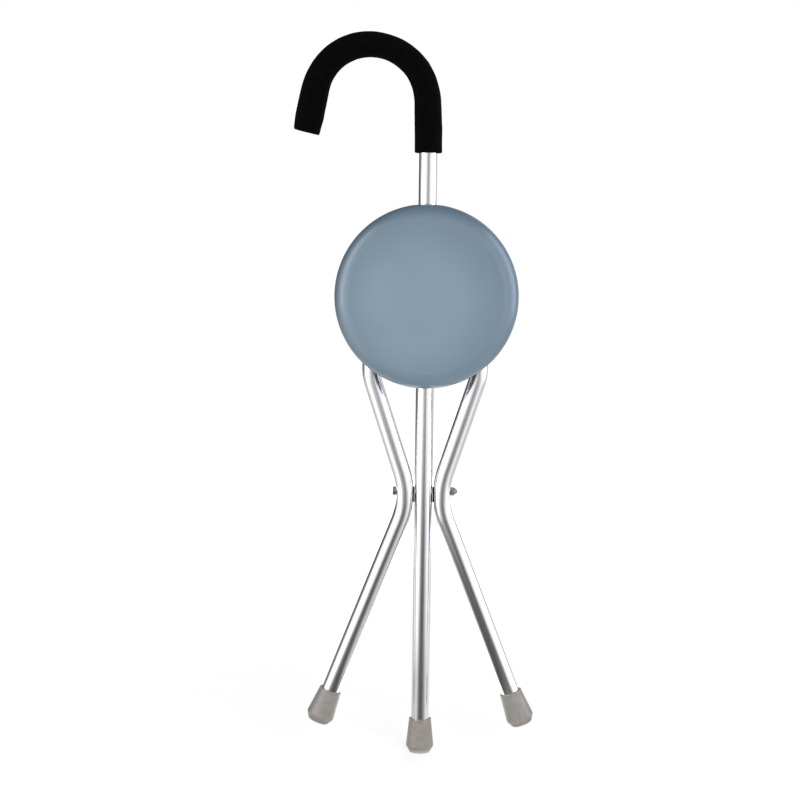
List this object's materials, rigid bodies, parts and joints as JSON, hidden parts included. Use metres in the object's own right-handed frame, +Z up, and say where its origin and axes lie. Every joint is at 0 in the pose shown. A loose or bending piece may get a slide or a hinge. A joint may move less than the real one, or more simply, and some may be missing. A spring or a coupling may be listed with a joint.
{
  "type": "walking stick seat",
  "caption": "Crook-handled aluminium walking stick with bent side legs and a round plastic seat that fold out into a three-legged stool.",
  "frame": {"origin": "middle of the sole of the stick's own ferrule", "axes": "+Z up the stick, +X to the right when the seat faces the viewer, so the crook points to -X and the folded seat faces -Y"},
  "size_m": [0.304, 0.0695, 0.8855],
  "materials": {
    "tube_aluminium": "bright anodised, fine drawn grain along the tube",
    "grip_foam": "closed-cell foam, matte",
    "ferrule_rubber": "smooth warm grey moulded rubber, slightly glossy",
    "buffer_rubber": "matte black",
    "black_plastic": "matte black moulded nylon",
    "nylon": "natural white nylon",
    "zinc_steel": "zinc plated",
    "seat_plastic": "blue-grey moulded polypropylene, satin",
    "bracket_steel": "grey powder coat"
  },
  "bodies": {
    "pole": {"main_tube": "tube_aluminium", "foam_grip": "grip_foam", "crook_end_plug": "black_plastic", "main_ferrule": "ferrule_rubber", "main_foot_disc": "zinc_steel", "pivot_sleeve": "nylon", "stop_bolt": "zinc_steel", "stop_nut": "zinc_steel"},
    "side_legs": {"left_leg_tube": "tube_aluminium", "right_leg_tube": "tube_aluminium", "left_ferrule": "ferrule_rubber", "right_ferrule": "ferrule_rubber", "left_foot_disc": "zinc_steel", "right_foot_disc": "zinc_steel", "left_leg_cap": "black_plastic", "right_leg_cap": "black_plastic", "left_pivot_spacer": "black_plastic", "right_pivot_spacer": "black_plastic", "left_hinge_bush": "nylon", "right_hinge_bush": "nylon", "crush_sleeves": "zinc_steel", "pivot_washers": "zinc_steel", "pivot_bolt": "zinc_steel", "pivot_nut": "zinc_steel"},
    "seat": {"seat_shell": "seat_plastic", "seat_bracket": "bracket_steel", "seat_screws": "zinc_steel", "rest_buffer": "buffer_rubber", "hinge_washers": "zinc_steel", "left_hinge_bolt": "zinc_steel", "right_hinge_bolt": "zinc_steel", "left_hinge_nut": "zinc_steel", "right_hinge_nut": "zinc_steel"},
    "collar": {"slide_collar": "black_plastic", "collar_rivets": "zinc_steel"}
  },
  "joints": [
    {"name": "leg_fold", "type": "hinge", "parent": "pole", "child": "side_legs", "pos_m": [0, 0, 0.3275], "axis": [1, 0, 0], "range_deg": [0, 55]},
    {"name": "seat_hinge", "type": "hinge", "parent": "side_legs", "child": "seat", "pos_m": [0, 0, 0.4975], "axis": [1, 0, 0], "range_deg": [-110, 0]},
    {"name": "collar_pivot", "type": "hinge", "parent": "seat", "child": "collar", "pos_m": [0, 0, 0.6675], "axis": [1, 0, 0], "range_deg": [0, 55]}
  ],
  "couplings": [
    {"joint": "seat_hinge", "follows": "leg_fold", "ratio": -2},
    {"joint": "collar_pivot", "follows": "leg_fold", "ratio": 1}
  ]
}
